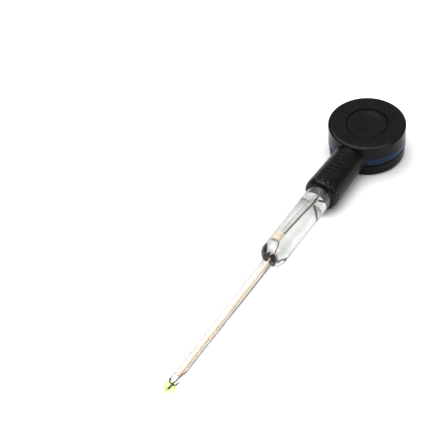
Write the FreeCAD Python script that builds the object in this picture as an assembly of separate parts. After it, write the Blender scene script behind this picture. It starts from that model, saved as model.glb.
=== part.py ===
"""Wireless pH probe: a round head with a button and a light ring, a grip, and a glass electrode.

Millimetres, +Z up. The origin is the centre of the head's flat underside. The electrode's axis
runs level along -Y, half way up the head. Electrode pieces are built along +Z, where a height is
a distance from the head's centre, and lay_down() then puts them in their place.
"""
import FreeCAD, Part
import math
import os

from FreeCAD import Vector

# Head, from the bottom up; its radius follows from the cell, the cover and the screws inside it
base_height = 5.0
gasket_height = 1.0
frame_height = 1.1
ring_height = 2.8
cap_height = 6.5
wall = 1.4
top_wall = 1.4
floor_wall = 1.6
top_edge_width = 1.5
top_edge_drop = 0.7
bottom_edge = 0.8
seam_bevel = 0.12
gasket_recess = 0.7
ring_wall = 1.6
deck_wall = 1.0
deck_recess = 0.3
head_overhang = 0.5
shell_gap = 0.1

# Button and what it presses
button_radius = 9.15
button_gap = 0.45
button_travel = 0.4
button_edge = 0.35
dish_radius = 7.4
dish_depth = 0.35
flange_wall = 1.08
flange_lip = 1.0
flange_gap = 0.1
membrane_wall = 0.5
membrane_rim = 1.3
membrane_gap = 0.3
nub_radius = 1.2
nub_gap = 0.04
dome_radius = 2.5
dome_height = 0.62
dome_wall = 0.12

# Circuit board
board_wall = 1.0
board_gap = 0.8
board_height = 3.0
board_screw_circle = 9.3
board_screw_angles = (20, 105, 235)
board_screw_radius = 0.6
board_screw_head = 1.1
board_screw_length = 3.2
board_screw_head_height = 0.6
board_screw_slot = (1.6, 0.3, 0.3)
board_post_radius = 1.4
board_hole_gap = 0.05
boss_notch_gap = 0.25
led_inset = 1.0
led_angles = (15, 45, 105, 135, 165, 225)
led_size = (1.0, 1.6, 0.7)

# Parts soldered under the board: centre x and y, then size along x, y and z
radio_can = (-4.6, 4.0, 7.4, 6.4, 1.5)
amplifier = (4.2, -5.2, 3.0, 3.0, 0.9)
amplifier_leg = (0.7, 0.22, 0.25)
amplifier_pins = (-1.0, -0.33, 0.33, 1.0)
can_edge = 0.3
crystal_edge = 0.2
crystal = (3.8, 5.6, 3.2, 1.6, 0.8)
connector = (0.8, -8.6, 6.0, 3.0, 1.9)
connector_mouth = (5.0, 1.6, 1.1)
capacitor_size = (1.0, 0.6, 0.55)
capacitor_places = ((-9.4, -2.4), (-7.4, -2.4), (-7.4, -4.0), (0.4, 3.2), (1.8, 3.2), (7.6, -2.2))
antenna_inset = 1.5
antenna_angle = 120
antenna_size = (1.2, 3.2, 1.0)

# Battery and its cover
cell_radius = 10.0
cell_height = 3.2
cell_gap = 0.3
cell_step = 0.35
pad_wall = 0.4
pad_inset = 2.0
pad_gap = 0.02
cover_floor = 2.0
cover_skirt = 1.3
skirt_height = 2.4
cover_gap = 0.15
cover_angles = (90, 210, 330)
cover_turn = 45
tab_half_angle = 10
tab_depth = 0.7
tab_height = 0.9
tab_bottom = 1.7
tab_gap = 0.1
slot_gap_angle = 2
bore_wall = 0.75
bore_rise = 0.2
cover_edge = 0.3
grip_recess_inset = 1.4
grip_recess_depth = 1.2
grip_bar_width = 4.2
oring_radius = 0.4
oring_gap = 0.02
oring_side_gap = 0.05
oring_inset = 0.9
contact_wall = 0.2
contact_width = 3.0
contact_slot_gap = 0.2
spring_tip_x = 1.6
spring_flat_x = 0.6
spring_rise_x = 3.2
spring_foot_x = 6.6
spring_lift = 0.1
clip_bow = 0.25
clip_start = 0.3
clip_touch = 0.6

# Housing screws
screw_wall = 0.55
screw_angles = (75, 195, 315)
screw_radius = 0.8
screw_length = 11.2
screw_head = 1.4
screw_head_height = 1.2
screw_head_inset = 0.15
screw_slot = (1.9, 0.4, 0.65)
screw_tip_room = 0.3
thread_gap = 0.01
boss_radius = 1.6
boss_bottom = 0.5
hole_gap = 0.1

# Grip between head and glass
neck_root_radius = 7.2
neck_flare = 0.7
flare_start = 3.0
flare_length = 1.2
flare_hollow = 0.22
neck_length = 23.5
grip_wall = 1.17
saddle_gap = 0.05
spigot_radius = 4.6
spigot_flange = 1.0
spigot_reach = 1.4
flange_side_gap = 0.2
flange_back_gap = 0.3
flange_rim_gap = 0.15
pocket_rim_room = 0.1
wire_bore = 3.6
rib_count = 7
rib_start = 3.2
rib_stop = 5.4
rib_length = 1.5
rib_width = 4.4
rib_height = 0.2
nose_length = 3.3
nose_tail = 2.6
nose_tail_wall = 0.9
nose_tail_gap = 0.1
nose_shoulder = 2.2
nose_mouth_land = 0.5
nose_mouth_edge = 0.2
dimple_count = 20
dimple_radius = 2.0
dimple_depth = 0.32
dimple_height = 0.95
glass_seal_radius = 0.5
glass_seal_squeeze = 0.04
glass_seal_gap = 0.02

# Glass electrode
glass_radius = 6.0
shank_step = 0.25
shank_gap = 0.05
glass_wall = 1.0
grip_depth = 9.0
shaft_length = 39.5
shoulder_length = 4.6
mouth_lip = 0.45
fit_gap = 0.08
cap_length = 5.0
cap_room = 1.0
cap_plug_length = 4.0
cap_plug_gap = 0.05
cap_bore = 1.4
seal_reach = 3.6
seal_creep = 0.5
stem_top_radius = 2.5
stem_tip_radius = 2.2
stem_wall = 0.6
stem_inset = 2.9
stem_length = 79.0
stem_neck_length = 3.9
stem_neck_radius = 1.85
stem_neck_bulge = 0.12
collar_wall = 0.25
collar_flange = 0.3
collar_inset = 0.5
collar_edge = 0.25
collar_lip = 0.75
bulb_radius = 2.65
bulb_wall = 0.3

# Inside the glass
lean_angle = 151.0
tube_radius = 1.05
tube_wall = 0.3
tube_reach = 0.2
tube_stop = 8.0
tube_top_offset = 0.4
tube_to_frit = 0.65
frit_radius = 1.5
frit_length = 5.0
frit_grip = 1.5
frit_edge = 0.4
frit_wall_gap = 1.0
wire_gap = 0.05
lead_radius = 0.17
lead_spread = 0.24
lead_start = 2.5
lead_bend = 6.0
lead_turn_above_frit_end = 1.8
sleeve_radius = 0.72
sleeve_wall = 0.15
sleeve_start = 2.1
sleeve_stop = 7.9
element_radius = 0.16
element_bend = 5.0
element_lift = 0.42
element_entry_offset = 0.95
element_offset = 1.12
element_low_offset = 0.3
element_tip_offset = 0.1
element_tip_drop = 0.6
element_coat_radius = 0.32
element_coat_length = 2.1
element_coat_tip = 0.3
sensor_radius = 0.62
sensor_length = 3.2
sensor_gap = 0.3
crimp_radius = 0.6
crimp_length = 3.0
crimp_depth = 1.6
crimp_inset = 2.62
crimp_angle = -67.8
reference_radius = 0.34
reference_bend = 2.2
reference_start = 0.6
# Each corner's distance from the glass, angle round the axis and distance below the seal
reference_corners = ((2.1, -88.0, 1.6), (1.6, -118.1, 4.2), (1.36, -148.5, 7.2))

# Leads in the grip
insulation_radius = 0.38
insulation_bend = 2.0
grip_lead_pitch = 0.85
plug_pitch = 1.2

# How far a cutting shape runs past what it cuts, and how far joined shapes run into each other
past = 1.0
into = 0.2

# Heights that follow from the sizes above
gasket_top = base_height + gasket_height
frame_top = gasket_top + frame_height
ring_top = frame_top + ring_height
head_height = ring_top + cap_height
axis_height = head_height / 2
ceiling = head_height - top_wall
deck_bottom = gasket_top + deck_recess
deck_top = deck_bottom + deck_wall
flange_top = ceiling - flange_gap
flange_bottom = flange_top - flange_wall
membrane_top = flange_bottom - oring_gap
membrane_bottom = membrane_top - membrane_wall
board_top = ceiling - board_height
board_bottom = board_top - board_wall
cell_bottom = cover_floor + pad_wall
cell_top = cell_bottom + cell_height
skirt_top = cover_floor + skirt_height
oring_height = skirt_top - oring_inset

# The head's radii, from the cell outwards
skirt_inner = cell_radius + cell_gap
skirt_outer = skirt_inner + cover_skirt
cover_bore = skirt_outer + cover_gap
tab_radius = skirt_outer + tab_depth
tab_groove_radius = tab_radius + cover_gap
bore_wall_outer = tab_groove_radius + bore_wall
grip_recess_radius = cell_radius - grip_recess_inset
clip_x = -(cell_radius + contact_wall / 2 + oring_gap)
screw_circle = tab_groove_radius + screw_wall + screw_radius + hole_gap
base_inner = screw_circle + boss_radius + shell_gap
base_radius = base_inner + wall
head_radius = base_radius + head_overhang
cap_inner = head_radius - wall
board_radius = cap_inner - board_gap
led_circle = board_radius - led_inset
antenna_circle = board_radius - antenna_inset
button_hole = button_radius + button_gap
flange_radius = button_hole + flange_lip
membrane_inner = flange_radius + membrane_gap
membrane_outer = membrane_inner + membrane_rim

# The electrode's radii
glass_inner = glass_radius - glass_wall
shank_radius = glass_radius - shank_step
neck_bore = shank_radius + fit_gap
nose_bore = neck_bore + nose_tail_wall + nose_tail_gap
neck_front_radius = nose_bore + grip_wall
mouth_radius = stem_top_radius + collar_wall
frit_offset = glass_inner - frit_radius - frit_wall_gap
tube_bottom_offset = frit_offset - tube_to_frit

# Distances from the head's centre along the electrode's axis, from the head to the bulb
spigot_back = base_inner - spigot_reach
neck_end = head_radius + neck_length
grip_front = neck_end + nose_length
glass_top = neck_end - grip_depth
cap_seat = glass_top - cap_length - cap_room
tube_top = grip_front + tube_reach
seal_bottom = grip_front + seal_reach
shoulder_start = grip_front + shaft_length
glass_end = shoulder_start + shoulder_length
tube_bottom = shoulder_start - tube_stop
frit_top = tube_bottom - frit_grip
stem_top = glass_end - stem_inset
stem_end = glass_end + stem_length
taper_end = stem_end - stem_neck_length
sleeve_top = glass_end + sleeve_start
sleeve_end = stem_end - sleeve_stop
sensor_top = sleeve_end + sensor_gap
element_end = sleeve_end + 7.0
bulb_centre = stem_end + math.sqrt(bulb_radius**2 - stem_neck_radius**2)


def cylinder(radius, bottom, top, x=0.0, y=0.0):
    return Part.makeCylinder(radius, top - bottom, Vector(x, y, bottom))


def ring(outer, inner, bottom, top):
    return cylinder(outer, bottom, top).cut(cylinder(inner, bottom, top))


def block(x, y, bottom, size_x, size_y, size_z):
    """A box centred on x and y that stands on bottom."""
    return Part.makeBox(size_x, size_y, size_z, Vector(x - size_x / 2, y - size_y / 2, bottom))


def on_circle(radius, angle):
    turn = math.radians(angle)
    return radius * math.cos(turn), radius * math.sin(turn)


def turned(steps):
    """Turns an outline about Z. A step is a (radius, height) point, or an arc's middle and end."""
    start = Vector(steps[0][0], 0, steps[0][1])
    at = start
    edges = []
    for step in steps[1:]:
        if isinstance(step[0], tuple):
            middle, end = [Vector(radius, 0, height) for radius, height in step]
            edges.append(Part.Arc(at, middle, end).toShape())
        else:
            end = Vector(step[0], 0, step[1])
            edges.append(Part.makeLine(at, end))
        at = end
    edges.append(Part.makeLine(at, start))
    return Part.Face(Part.Wire(edges)).revolve(Vector(0, 0, 0), Vector(0, 0, 1), 360)


def level_arc(inner, outer, top, drop):
    """The middle and end of an arc from (outer, top - drop) to the point (inner, top), level there."""
    width = outer - inner
    radius = (width**2 + drop**2) / (2 * drop)
    half = math.asin(min(1.0, width / radius)) / 2
    middle = (inner + radius * math.sin(half), top - radius * (1 - math.cos(half)))
    return middle, (inner, top)


def side_arc(inner, outer, top, drop):
    """The middle and end of an arc that leaves an upright side at (outer, top - drop)."""
    width = outer - inner
    radius = (width**2 + drop**2) / (2 * width)
    half = math.asin(min(1.0, drop / radius)) / 2
    middle = (outer - radius * (1 - math.cos(half)), top - drop + radius * math.sin(half))
    return middle, (inner, top)


def sector(radius, bottom, top, angle, half_angle):
    """A pie slice about Z, 2 * half_angle wide, centred on angle."""
    slice_ = Part.makeCylinder(
        radius, top - bottom, Vector(0, 0, bottom), Vector(0, 0, 1), 2 * half_angle)
    slice_.rotate(Vector(0, 0, 0), Vector(0, 0, 1), angle - half_angle)
    return slice_


def lay_down(shape):
    laid = shape.copy()
    laid.rotate(Vector(0, 0, 0), Vector(1, 0, 0), 90)
    laid.translate(Vector(0, 0, axis_height))
    return laid


def side(offset, across=0.0):
    """A point's X and height over the electrode's axis, where the inner tube leans to."""
    turn = math.radians(lean_angle)
    along_x = offset * math.cos(turn) + across * math.sin(turn)
    return along_x, offset * math.sin(turn) - across * math.cos(turn)


def rod(start, end, radius):
    direction = end - start
    return Part.makeCylinder(radius, direction.Length, start, direction)


def bent_wire(points, radius, bend):
    """A round wire through points, with straight runs joined by tangent arcs of radius bend."""
    edges = []
    at = points[0]
    for before, corner, after in zip(points, points[1:], points[2:]):
        into = (corner - before).normalize()
        out = (after - corner).normalize()
        turn = into.getAngle(out)
        if turn < 0.001:
            continue
        back = bend * math.tan(turn / 2)
        first = corner - into * back
        last = corner + out * back
        toward = (out - into).normalize()
        centre = corner + toward * (bend / math.cos(turn / 2))
        edges.append(Part.makeLine(at, first))
        edges.append(Part.Arc(first, centre - toward * bend, last).toShape())
        at = last
    edges.append(Part.makeLine(at, points[-1]))
    path = Part.Wire(edges)
    profile = Part.Wire([Part.makeCircle(radius, points[0], points[1] - points[0])])
    return path.makePipeShell([profile], True, False)


def strip(points, width):
    """A sheet-metal strip contact_wall thick along (x, z) points, centred on y = 0."""
    pieces = []
    half = contact_wall / 2
    for (x0, z0), (x1, z1) in zip(points, points[1:]):
        run = Vector(x1 - x0, 0, z1 - z0)
        flat = Part.makeBox(run.Length, width, contact_wall, Vector(0, -width / 2, -half))
        flat.rotate(Vector(0, 0, 0), Vector(0, 1, 0), -math.degrees(math.atan2(run.z, run.x)))
        flat.translate(Vector(x0, 0, z0))
        pieces.append(flat)
    for x, z in points[1:-1]:
        bend = Part.makeCylinder(half, width, Vector(x, -width / 2, z), Vector(0, 1, 0))
        pieces.append(bend)
    return pieces[0].multiFuse(pieces[1:]).removeSplitter()


def spigot_hole():
    start = spigot_back - wall
    return lay_down(cylinder(spigot_radius + saddle_gap, start, head_radius + past))


def flange_pocket():
    radius = spigot_radius + spigot_flange + flange_side_gap
    pocket = lay_down(cylinder(radius, spigot_back - flange_back_gap, head_radius))
    return pocket.common(cylinder(base_inner + pocket_rim_room, 0.0, head_height))


def neck_opening():
    """What the grip's spigot and its flange take out of the shells."""
    return spigot_hole().fuse(flange_pocket())


def upper_housing():
    inner_edge = head_radius - top_edge_width
    shell = turned([
        (cap_inner, ring_top),
        (head_radius - seam_bevel, ring_top),
        (head_radius, ring_top + seam_bevel),
        (head_radius, head_height - top_edge_drop),
        level_arc(inner_edge, head_radius, head_height, top_edge_drop),
        (button_hole, head_height),
        (button_hole, ceiling),
        (cap_inner, ceiling),
    ])
    for angle in screw_angles:
        x, y = on_circle(screw_circle, angle)
        shell = shell.fuse(cylinder(boss_radius, deck_top, ceiling + into, x, y))
    for angle in screw_angles:
        x, y = on_circle(screw_circle, angle)
        top = screw_head_height + screw_length + screw_tip_room
        shell = shell.cut(cylinder(screw_radius + thread_gap, deck_top - past, top, x, y))
    return shell.cut(spigot_hole()).removeSplitter()


def lower_housing():
    edge = bottom_edge * (1 - math.sqrt(0.5))
    cup = turned([
        (cover_bore, 0.0),
        (base_radius - bottom_edge, 0.0),
        ((base_radius - edge, edge), (base_radius, bottom_edge)),
        (base_radius, base_height - seam_bevel),
        (base_radius - seam_bevel, base_height),
        (base_inner, base_height),
        (base_inner, floor_wall),
        (bore_wall_outer, floor_wall),
        (bore_wall_outer, skirt_top + bore_rise),
        (cover_bore, skirt_top + bore_rise),
    ])
    for angle in screw_angles:
        x, y = on_circle(screw_circle, angle)
        cup = cup.fuse(cylinder(boss_radius, boss_bottom, deck_bottom, x, y))
    cup = cup.cut(cylinder(cover_bore, -past, deck_bottom + past))
    tab_space = ring(tab_groove_radius, skirt_inner, tab_bottom - tab_gap,
                     tab_bottom + tab_height + tab_gap)
    cup = cup.cut(tab_space)
    for angle in cover_angles:
        slot = sector(tab_groove_radius, -past, tab_bottom, angle + cover_turn,
                      tab_half_angle + slot_gap_angle)
        cup = cup.cut(slot)
    for angle in screw_angles:
        x, y = on_circle(screw_circle, angle)
        cup = cup.cut(cylinder(screw_radius + hole_gap, -past, deck_bottom + past, x, y))
        cup = cup.cut(cylinder(screw_head + hole_gap, -past, screw_head_height + hole_gap, x, y))
    return cup.cut(neck_opening()).removeSplitter()


def housing_gasket():
    outer = base_radius - gasket_recess
    return ring(outer, base_inner, base_height, gasket_top).cut(spigot_hole())


def inner_frame():
    frame = turned([
        (0.0, deck_bottom),
        (base_inner, deck_bottom),
        (base_inner, gasket_top),
        (head_radius - seam_bevel, gasket_top),
        (head_radius, gasket_top + seam_bevel),
        (head_radius, frame_top),
        (base_inner, frame_top),
        (base_inner, deck_top),
        (0.0, deck_top),
    ]).cut(neck_opening())
    for angle in board_screw_angles:
        x, y = on_circle(board_screw_circle, angle)
        frame = frame.fuse(cylinder(board_post_radius, deck_bottom, board_bottom, x, y))
        frame = frame.cut(cylinder(board_screw_radius, deck_top, board_bottom + past, x, y))
    for angle in screw_angles:
        x, y = on_circle(screw_circle, angle)
        frame = frame.cut(cylinder(screw_radius + hole_gap, gasket_top, deck_top + past, x, y))
    for contact_x in (spring_foot_x, clip_x):
        slot_width = contact_width + 2 * contact_slot_gap
        slot_length = contact_wall + 3 * contact_slot_gap
        slot = block(contact_x, 0.0, gasket_top, slot_length, slot_width, deck_wall + past)
        frame = frame.cut(slot)
    return frame.removeSplitter()


def light_ring():
    band = turned([
        (head_radius - ring_wall, frame_top),
        (head_radius, frame_top),
        (head_radius, ring_top - seam_bevel),
        (head_radius - seam_bevel, ring_top),
        (head_radius - ring_wall, ring_top),
    ])
    return band.cut(spigot_hole())


def power_button():
    return turned([
        (0.0, flange_bottom),
        (flange_radius, flange_bottom),
        (flange_radius, flange_top),
        (button_radius, flange_top),
        (button_radius, head_height - button_edge),
        level_arc(button_radius - button_edge, button_radius, head_height, button_edge),
        (dish_radius, head_height),
        level_arc(0.0, dish_radius, head_height - dish_depth, -dish_depth),
    ])


def button_membrane():
    nub_bottom = board_top + dome_height + nub_gap
    return turned([
        (0.0, nub_bottom),
        (nub_radius, nub_bottom),
        (nub_radius, membrane_bottom),
        (membrane_inner, membrane_bottom),
        (membrane_inner, board_top),
        (membrane_outer, board_top),
        (membrane_outer, ceiling),
        (membrane_inner, ceiling),
        (membrane_inner, membrane_top),
        (0.0, membrane_top),
    ])


def dome_switch():
    peak = board_top + dome_height
    inner_peak = peak - dome_wall
    inner_foot = dome_radius - 2 * dome_wall
    inner_middle = level_arc(0.0, inner_foot, inner_peak, dome_height - dome_wall)[0]
    return turned([
        (0.0, inner_peak),
        (inner_middle, (inner_foot, board_top)),
        (dome_radius, board_top),
        level_arc(0.0, dome_radius, peak, dome_height),
    ])


def circuit_board():
    board = cylinder(board_radius, board_bottom, board_top)
    for angle in screw_angles:
        x, y = on_circle(screw_circle, angle)
        board = board.cut(cylinder(boss_radius + boss_notch_gap, board_bottom, board_top, x, y))
        x, y = on_circle(board_radius, angle)
        notch = block(x, y, board_bottom, 2 * boss_radius, 2 * boss_radius, board_wall)
        notch.rotate(Vector(x, y, 0), Vector(0, 0, 1), angle)
        board = board.cut(notch)
    for angle in board_screw_angles:
        x, y = on_circle(board_screw_circle, angle)
        hole = board_screw_radius + board_hole_gap
        board = board.cut(cylinder(hole, board_bottom, board_top, x, y))
    return board.cut(flange_pocket()).removeSplitter()


def under_board(x, y, size_x, size_y, size_z):
    return block(x, y, board_bottom - size_z, size_x, size_y, size_z)


def ring_leds():
    leds = []
    for angle in led_angles:
        x, y = on_circle(led_circle, angle)
        led = under_board(x, y, *led_size)
        led.rotate(Vector(x, y, 0), Vector(0, 0, 1), angle)
        leds.append(led)
    return Part.makeCompound(leds)


def radio_module():
    can = under_board(*radio_can)
    return can.makeFillet(can_edge, [edge for edge in can.Edges if edge.Curve.Direction.z != 0])


def chip_antenna():
    x, y = on_circle(antenna_circle, antenna_angle)
    chip = block(x, y, board_top, *antenna_size)
    chip.rotate(Vector(x, y, 0), Vector(0, 0, 1), antenna_angle)
    return chip


def amplifier_chip():
    body = under_board(*amplifier)
    x, y, width = amplifier[:3]
    reach = (width + amplifier_leg[0] / 2) / 2
    for row in (-reach, reach):
        for pin in amplifier_pins:
            body = body.fuse(under_board(x + row, y + pin, *amplifier_leg))
    return body.removeSplitter()


def timing_crystal():
    can = under_board(*crystal)
    return can.makeFillet(crystal_edge, [edge for edge in can.Edges if edge.Curve.Direction.z != 0])


def board_capacitors():
    return Part.makeCompound([under_board(x, y, *capacitor_size) for x, y in capacitor_places])


def lead_connector():
    x, y, _, depth, height = connector
    middle = board_bottom - (height + connector_mouth[2]) / 2
    return under_board(*connector).cut(block(x, y - depth / 2, middle, *connector_mouth))


def board_screws():
    screws = []
    for angle in board_screw_angles:
        x, y = on_circle(board_screw_circle, angle)
        top = board_top + board_screw_head_height
        head = cylinder(board_screw_head, board_top, top, x, y)
        shank = cylinder(board_screw_radius, board_top - board_screw_length, board_top, x, y)
        long, wide, deep = board_screw_slot
        screw = head.fuse(shank).cut(block(x, y, top - deep, long, wide, past))
        screws.append(screw.cut(block(x, y, top - deep, wide, long, past)).removeSplitter())
    return Part.makeCompound(screws)


def coin_cell():
    return turned([
        (0.0, cell_bottom),
        (cell_radius - cell_step, cell_bottom),
        (cell_radius, cell_bottom + cell_step),
        (cell_radius, cell_top - 2 * cell_step),
        (cell_radius - cell_step, cell_top - cell_step),
        (cell_radius - 3 * cell_step, cell_top - cell_step),
        (cell_radius - 4 * cell_step, cell_top),
        (0.0, cell_top),
    ])


def cell_spring():
    touch = cell_top + contact_wall / 2 + thread_gap
    high = deck_bottom - contact_wall / 2
    return strip([(-spring_tip_x, touch + spring_lift), (-spring_flat_x, touch),
                  (spring_flat_x, touch), (spring_rise_x, high), (spring_foot_x, high),
                  (spring_foot_x, board_bottom)], contact_width)


def cell_clip():
    return strip([(clip_x - clip_bow, skirt_top + clip_start), (clip_x, skirt_top + clip_touch),
                  (clip_x, board_bottom)], contact_width)


def battery_cover():
    half_groove = oring_radius + oring_side_gap
    groove_radius = cover_bore - 2 * (oring_gap + oring_radius)
    cover = turned([
        (0.0, 0.0),
        (skirt_outer - cover_edge, 0.0),
        (skirt_outer, cover_edge),
        (skirt_outer, oring_height - half_groove),
        (groove_radius, oring_height - half_groove),
        (groove_radius, oring_height + half_groove),
        (skirt_outer, oring_height + half_groove),
        (skirt_outer, skirt_top),
        (skirt_inner, skirt_top),
        (skirt_inner, cover_floor),
        (0.0, cover_floor),
    ])
    for angle in cover_angles:
        tab = sector(tab_radius, tab_bottom, tab_bottom + tab_height, angle, tab_half_angle)
        cover = cover.fuse(tab.cut(cylinder(skirt_inner + into, 0.0, skirt_top)))
    recess = cylinder(grip_recess_radius, -past, grip_recess_depth)
    bar = block(0.0, 0.0, -past, 3 * grip_recess_radius, grip_bar_width, cover_floor + past)
    return cover.cut(recess.cut(bar)).removeSplitter()


def cover_oring():
    middle = cover_bore - oring_gap - oring_radius
    return Part.makeTorus(middle, oring_radius, Vector(0, 0, oring_height))


def cell_pad():
    return cylinder(cell_radius - pad_inset, cover_floor, cell_bottom - pad_gap)


def housing_screws():
    screws = []
    for angle in screw_angles:
        x, y = on_circle(screw_circle, angle)
        head = cylinder(screw_head, screw_head_inset, screw_head_height, x, y)
        shank = cylinder(screw_radius, screw_head_height, screw_head_height + screw_length, x, y)
        long, wide, deep = screw_slot
        screw = head.fuse(shank).cut(block(x, y, 0.0, long, wide, deep))
        screws.append(screw.cut(block(x, y, 0.0, wide, long, deep)).removeSplitter())
    return Part.makeCompound(screws)


def neck_radius(height):
    share = (height - head_radius) / (neck_end - head_radius)
    return neck_root_radius + share * (neck_front_radius - neck_root_radius)


def grip_ribs():
    """Short raised bars with round ends in a row along the top of the grip."""
    first = head_radius + rib_start
    pitch = (neck_length - rib_start - rib_stop) / (rib_count - 1)
    end_x = (rib_width - rib_length) / 2
    ribs = []
    for number in range(rib_count):
        height = first + number * pitch
        bar = block(0.0, -height, axis_height, 2 * end_x, rib_length, head_height)
        for x in (-end_x, end_x):
            bar = bar.fuse(cylinder(rib_length / 2, axis_height, 2 * head_height, x, -height))
        ribs.append(bar)
    skin = lay_down(turned([
        (0.0, head_radius),
        (neck_radius(head_radius) + rib_height, head_radius),
        (neck_front_radius + rib_height, neck_end),
        (0.0, neck_end),
    ]))
    return skin.common(ribs[0].multiFuse(ribs[1:]))


def neck_grip():
    """The grip's end is hollowed to the head's wall, and its spigot's flange is trapped inside."""
    flare_top = head_radius - flare_start
    flare_end = head_radius + flare_length
    flare_mid = (flare_top + flare_end) / 2
    outer = turned([
        (0.0, flare_top),
        (neck_root_radius + neck_flare, flare_top),
        ((neck_radius(flare_mid) + neck_flare * flare_hollow, flare_mid),
         (neck_radius(flare_end), flare_end)),
        (neck_front_radius, neck_end),
        (0.0, neck_end),
    ])
    saddle = cylinder(head_radius + saddle_gap, -head_height, 2 * head_height)
    body = lay_down(outer).fuse(grip_ribs()).cut(saddle)
    flange = lay_down(cylinder(spigot_radius + spigot_flange, spigot_back, head_radius))
    flange = flange.common(cylinder(base_inner - flange_rim_gap, 0.0, head_height))
    spigot = lay_down(cylinder(spigot_radius, spigot_back, head_radius + flare_start))
    body = body.fuse(spigot).fuse(flange)
    body = body.cut(lay_down(cylinder(wire_bore, spigot_back - past, neck_end)))
    body = body.cut(lay_down(cylinder(neck_bore, cap_seat, neck_end + past)))
    tail_seat = neck_end - nose_tail - 2 * glass_seal_radius - nose_tail_gap
    body = body.cut(lay_down(cylinder(nose_bore, tail_seat, neck_end + past)))
    return body.removeSplitter()


def nose_ring():
    front = grip_front
    mouth = neck_bore + nose_mouth_land
    shape = turned([
        (neck_bore, neck_end - nose_tail),
        (neck_bore + nose_tail_wall, neck_end - nose_tail),
        (neck_bore + nose_tail_wall, neck_end),
        (neck_front_radius - seam_bevel, neck_end),
        (neck_front_radius, neck_end + seam_bevel),
        (neck_front_radius, front - nose_shoulder),
        side_arc(mouth, neck_front_radius, front, nose_shoulder),
        (neck_bore + nose_mouth_edge, front),
        (neck_bore, front - nose_mouth_edge),
    ])
    dimple_circle = neck_front_radius + dimple_radius - dimple_depth
    for number in range(dimple_count):
        x, y = on_circle(dimple_circle, 360 * number / dimple_count)
        shape = shape.cut(Part.makeSphere(dimple_radius, Vector(x, y, neck_end + dimple_height)))
    return lay_down(shape)


def glass_seal():
    middle = neck_bore + glass_seal_radius - glass_seal_squeeze
    height = neck_end - nose_tail - glass_seal_radius - glass_seal_gap
    return lay_down(Part.makeTorus(middle, glass_seal_radius, Vector(0, 0, height)))


def glass_solid(inset, top, bottom_radius):
    """The chamber's outside, moved inwards by inset, from top down to its rounded end."""
    radius = glass_radius - inset
    end = glass_end - inset
    start = shoulder_start + inset * into
    return turned([
        (0.0, top),
        (radius, top),
        (radius, start),
        side_arc(bottom_radius, radius, end, end - start),
        (0.0, end),
    ])


def chamber_glass():
    shank = cylinder(shank_radius, glass_top, grip_front + past)
    outer = glass_solid(0.0, grip_front + shank_gap, mouth_radius + mouth_lip).fuse(shank)
    inner = glass_solid(glass_wall, glass_top - past, mouth_radius)
    mouth = cylinder(mouth_radius, shoulder_start, glass_end + past)
    return lay_down(outer.cut(inner).cut(mouth).removeSplitter())


def electrode_cap():
    plug_end = glass_top + cap_plug_length
    body = cylinder(shank_radius, glass_top - cap_length, glass_top)
    plug = cylinder(glass_inner - cap_plug_gap, glass_top, plug_end)
    bore = cylinder(cap_bore, glass_top - cap_length - past, plug_end + past)
    return lay_down(body.fuse(plug).removeSplitter().cut(bore))


def tube_centre(height):
    share = (height - tube_top) / (tube_bottom - tube_top)
    x, up = side(tube_top_offset + share * (tube_bottom_offset - tube_top_offset))
    return Vector(x, up, height)


def inner_tube_solid(radius):
    return rod(tube_centre(tube_top), tube_centre(tube_bottom), radius)


def inner_tube():
    start = tube_centre(tube_top - past)
    bore = rod(start, tube_centre(tube_bottom + past), tube_radius - tube_wall)
    return inner_tube_solid(tube_radius).cut(bore)


def inner_frit():
    x, up = side(frit_offset)
    plug = cylinder(frit_radius, frit_top, frit_top + frit_length, x, up)
    rims = [edge for edge in plug.Edges if edge.Curve.TypeId == "Part::GeomCircle"]
    plug = plug.makeFillet(frit_edge, rims)
    return plug.cut(inner_tube_solid(tube_radius)).cut(wire_passages(wire_gap))


def lead_route(offset, across):
    """A lead's points from the cap down the inner tube, across the chamber and into the stem."""
    shift = Vector(*side(offset, across), 0)
    x, up = side(tube_bottom_offset + wire_gap)
    return [
        Vector(0, 0, glass_top - lead_start) + shift,
        Vector(0, 0, glass_top + cap_plug_length + lead_start) + shift,
        tube_centre(tube_top + lead_start) + shift,
        Vector(x, up, frit_top + frit_length - lead_turn_above_frit_end) + shift,
        Vector(0, 0, sleeve_top - past) + shift,
        Vector(0, 0, sleeve_end + past) + shift,
    ]


def sensor_lead(across, radius=lead_radius):
    return bent_wire(lead_route(0.0, across), radius, lead_bend)


def sensor_leads():
    return Part.makeCompound([sensor_lead(-lead_spread), sensor_lead(lead_spread)])


def element_low_point():
    return Vector(*side(-element_low_offset), element_end)


def element_tip():
    return Vector(*side(-element_tip_offset), bulb_centre + element_tip_drop)


def element_wire(radius=element_radius):
    points = lead_route(-element_lift, 0.0)[:4] + [
        Vector(*side(-element_entry_offset), glass_end - stem_radius(glass_end) / 2),
        Vector(*side(-element_offset), sleeve_top + sleeve_stop),
        Vector(*side(-element_offset), sleeve_end - past),
        element_low_point(),
        element_tip(),
    ]
    return bent_wire(points, radius, element_bend)


def wire_passages(gap):
    """Everything that runs down through the chamber, with gap round it."""
    pair = [sensor_lead(across, lead_radius + gap) for across in (-lead_spread, lead_spread)]
    return pair[0].fuse(pair[1]).fuse(element_wire(element_radius + gap))


def element_coat_solid():
    end = element_tip()
    run = (end - element_low_point()).normalize()
    start = end - run * element_coat_length
    return rod(start, end + run * element_coat_tip, element_coat_radius)


def measuring_element():
    return element_wire().fuse(element_coat_solid()).removeSplitter()


def lead_sleeve():
    tube = cylinder(sleeve_radius, sleeve_top, sleeve_end)
    return tube.cut(cylinder(sleeve_radius - sleeve_wall, sleeve_top, sleeve_end))


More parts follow.
